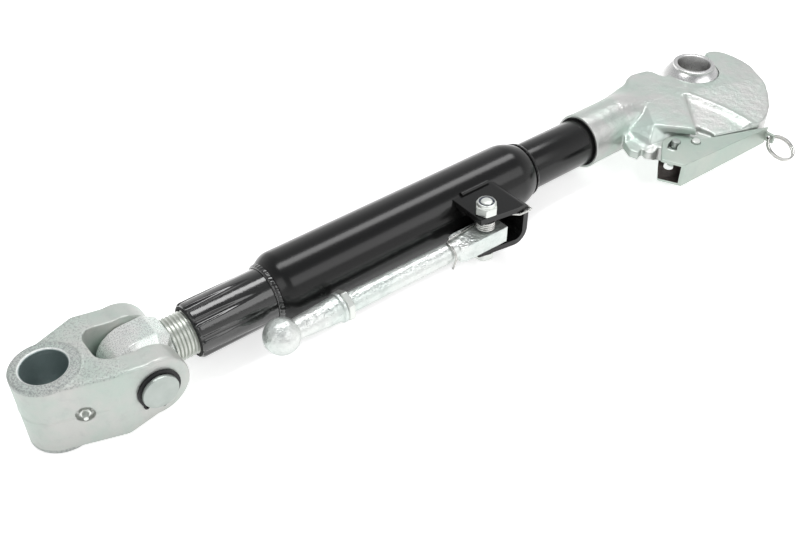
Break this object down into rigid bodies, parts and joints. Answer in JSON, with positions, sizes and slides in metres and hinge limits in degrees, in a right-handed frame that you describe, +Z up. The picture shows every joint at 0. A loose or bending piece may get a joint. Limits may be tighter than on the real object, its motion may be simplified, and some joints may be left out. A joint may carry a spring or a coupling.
{
  "type": "tractor top link",
  "caption": "Tractor three-point top link: forged knuckle with an eye, black turnbuckle tube with folding handle, and a hook with guide ball and latch.",
  "frame": {"origin": "centre of the bounding box in X and Y, on the surface the link lies on", "axes": "+X along the screw axis from the knuckle eye to the hook, +Z up with the link lying on its side, the handle on the -Y side"},
  "size_m": [0.7692, 0.1792, 0.0678],
  "materials": {
    "forged_zinc": "satin",
    "thread_zinc": "satin",
    "bright_zinc": "semi_gloss",
    "black_paint": "gloss",
    "spring_steel": "semi_gloss",
    "oxide_steel": "satin",
    "seal_rubber": "matte",
    "nylon": "matte"
  },
  "bodies": {
    "hook": {"hook_body": "forged_zinc", "hook_spindle": "thread_zinc", "pawl_pivot_pin": "bright_zinc", "lever_guide_pin": "bright_zinc", "latch_spring": "spring_steel"},
    "turn_carrier": {"skirt_seal": "seal_rubber"},
    "tube": {"turnbuckle_tube": "black_paint", "left_thread_sleeve": "black_paint", "right_thread_sleeve": "black_paint", "left_weld_bead": "black_paint", "right_weld_bead": "black_paint", "handle_bracket": "black_paint", "bracket_weld_top": "black_paint", "bracket_weld_bottom": "black_paint", "handle_bolt": "bright_zinc", "handle_nut": "bright_zinc", "handle_nut_insert": "nylon", "handle_torsion_spring": "spring_steel"},
    "spindle_carrier": {"thread_wiper": "seal_rubber"},
    "spindle": {"knuckle_spindle": "thread_zinc"},
    "knuckle": {"knuckle_fork": "forged_zinc", "knuckle_pin": "bright_zinc", "circlip_near": "oxide_steel", "circlip_far": "oxide_steel", "knuckle_grease_nipple": "bright_zinc"},
    "handle": {"handle_lever": "bright_zinc", "handle_lock_nut": "bright_zinc", "handle_grip": "bright_zinc"},
    "pawl": {"latch_pawl": "bright_zinc", "lever_link_pin": "bright_zinc"},
    "release": {"release_lever": "bright_zinc"},
    "ring": {"pull_ring": "spring_steel"},
    "ball": {"guide_ball": "bright_zinc"}
  },
  "joints": [
    {"name": "tube_turn", "type": "hinge", "parent": "hook", "child": "turn_carrier", "pos_m": [0.16412, 0.04695, 0.0325], "axis": [-1, 0, 0], "range_deg": [-1440, 10800]},
    {"name": "tube_travel", "type": "slide", "parent": "turn_carrier", "child": "tube", "axis": [-1, 0, 0], "range_m": [-0.012, 0.09]},
    {"name": "spindle_turn", "type": "hinge", "parent": "tube", "child": "spindle_carrier", "pos_m": [-0.25288, 0.04695, 0.0325], "axis": [-1, 0, 0], "range_deg": [-10800, 1440]},
    {"name": "spindle_travel", "type": "slide", "parent": "spindle_carrier", "child": "spindle", "axis": [-1, 0, 0], "range_m": [-0.012, 0.09]},
    {"name": "knuckle_swing", "type": "hinge", "parent": "spindle", "child": "knuckle", "pos_m": [-0.29788, 0.04695, 0.0325], "axis": [0, 1, 0], "range_deg": [-60, 60]},
    {"name": "handle_fold", "type": "hinge", "parent": "tube", "child": "handle", "pos_m": [0.00112, -0.00305, 0.0313], "axis": [0, 0, 1], "range_deg": [0, 90], "stiffness_Nm_per_rad": 0.25, "springref_deg": -34.38, "deforming": ["handle_torsion_spring"]},
    {"name": "pawl_swing", "type": "hinge", "parent": "hook", "child": "pawl", "pos_m": [0.28013, 0.00895, 0.0325], "axis": [0, 0, 1], "range_deg": [0, 8], "stiffness_Nm_per_rad": 0.5, "springref_deg": -11.46, "deforming": ["latch_spring"]},
    {"name": "release_swing", "type": "hinge", "parent": "pawl", "child": "release", "pos_m": [0.23713, -0.03305, 0.0325], "axis": [0, 0, 1], "range_deg": [-33, 0]},
    {"name": "ring_swing", "type": "hinge", "parent": "release", "child": "ring", "pos_m": [0.31422, -0.06205, 0.0325], "axis": [1, 0, 0], "range_deg": [-40, 40]},
    {"name": "ball_turn", "type": "hinge", "parent": "hook", "child": "ball", "pos_m": [0.32812, 0.04695, 0.0325], "axis": [0, 0, 1], "continuous": true}
  ],
  "couplings": [
    {"joint": "tube_travel", "follows": "tube_turn", "m_per_rad": 0.00047746},
    {"joint": "spindle_turn", "follows": "tube_turn", "ratio": -1},
    {"joint": "spindle_travel", "follows": "tube_turn", "m_per_rad": 0.00047746},
    {"joint": "release_swing", "follows": "pawl_swing", "ratio": -4.125}
  ]
}
